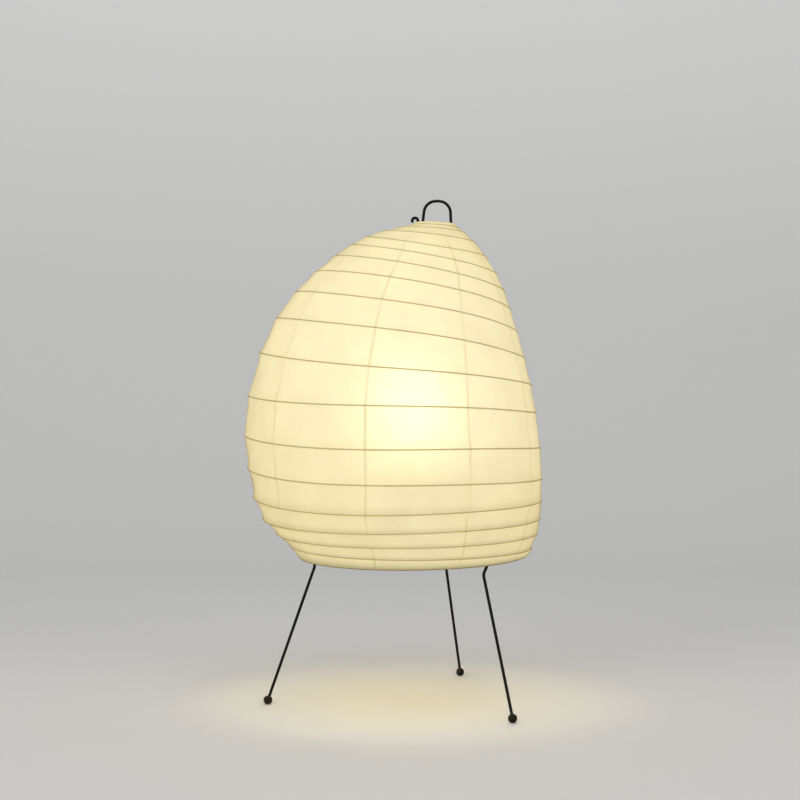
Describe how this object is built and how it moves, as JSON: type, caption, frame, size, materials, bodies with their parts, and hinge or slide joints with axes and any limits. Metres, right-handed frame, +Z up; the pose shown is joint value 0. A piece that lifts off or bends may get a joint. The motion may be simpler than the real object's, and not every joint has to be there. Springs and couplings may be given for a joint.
{
  "type": "paper table lamp",
  "caption": "Table lamp with a lopsided egg-shaped paper shade creased along a spiral bamboo rib, on a bent-wire tripod stand with ball feet, a carrying loop and a screw-in bulb.",
  "frame": {"origin": "on the surface that the lamp stands on, under the middle of its outline", "axes": "+X to the right of the pictured front, +Y away from the viewer, +Z up"},
  "size_m": [0.256, 0.2533, 0.432],
  "materials": {
    "paper": "thin fibrous paper, matt, glowing from inside",
    "bamboo": "split strip, plain",
    "hoop_wire": "drawn wire",
    "black_wire": "satin black",
    "black_ball": "satin black",
    "black_hub": "satin black",
    "stem_brass": "turned",
    "black_phenolic": "moulded, semi-gloss",
    "porcelain": "glazed",
    "contact_brass": "pressed strip",
    "frosted_glass": "frosted inside, lit",
    "clear_glass": "clear",
    "filament_wire": "drawn wire",
    "bulb_cap_metal": "rolled shell",
    "black_glass": "fused black glass",
    "solder": "solder bead"
  },
  "bodies": {
    "stand": {"paper_gore_1": "paper", "paper_gore_2": "paper", "paper_gore_3": "paper", "paper_gore_4": "paper", "paper_gore_5": "paper", "paper_gore_6": "paper", "paper_gore_7": "paper", "paper_gore_8": "paper", "paper_gore_9": "paper", "bamboo_rib": "bamboo", "bottom_hoop": "hoop_wire", "leg_wire_1": "black_wire", "leg_wire_2": "black_wire", "leg_wire_3": "black_wire", "stretcher_wire": "black_wire", "foot_ball_1": "black_ball", "foot_ball_2": "black_ball", "foot_ball_3": "black_ball", "stand_hub": "black_hub", "threaded_stem": "stem_brass", "stem_nuts": "stem_brass", "holder_cap": "black_phenolic", "holder_sleeve": "black_phenolic", "holder_insert": "porcelain", "terminal_screws": "contact_brass", "screw_shell": "contact_brass", "centre_contact": "contact_brass"},
    "top_ring": {"top_hoop": "hoop_wire"},
    "bulb_carrier": {"bulb_tip": "solder"},
    "bulb": {"bulb_glass": "frosted_glass", "bulb_cap": "bulb_cap_metal", "bulb_insulator": "black_glass", "bulb_mount": "clear_glass", "bulb_filament": "filament_wire"}
  },
  "joints": [
    {"name": "shade_drop", "type": "slide", "parent": "stand", "child": "top_ring", "axis": [0, 0, -1], "range_m": [0, 0.1], "deforming": ["paper_gore_1", "paper_gore_2", "paper_gore_3", "paper_gore_4", "paper_gore_5", "paper_gore_6", "paper_gore_7", "paper_gore_8", "paper_gore_9", "bamboo_rib"]},
    {"name": "bulb_lift", "type": "slide", "parent": "stand", "child": "bulb_carrier", "axis": [0, 0, 1], "range_m": [0, 0.0109]},
    {"name": "bulb_turn", "type": "hinge", "parent": "bulb_carrier", "child": "bulb", "pos_m": [0.01707, 0, 0.2], "axis": [0, 0, 1], "range_deg": [0, 1080]}
  ],
  "couplings": [
    {"joint": "bulb_lift", "follows": "bulb_turn", "m_per_rad": 0.00057757}
  ]
}
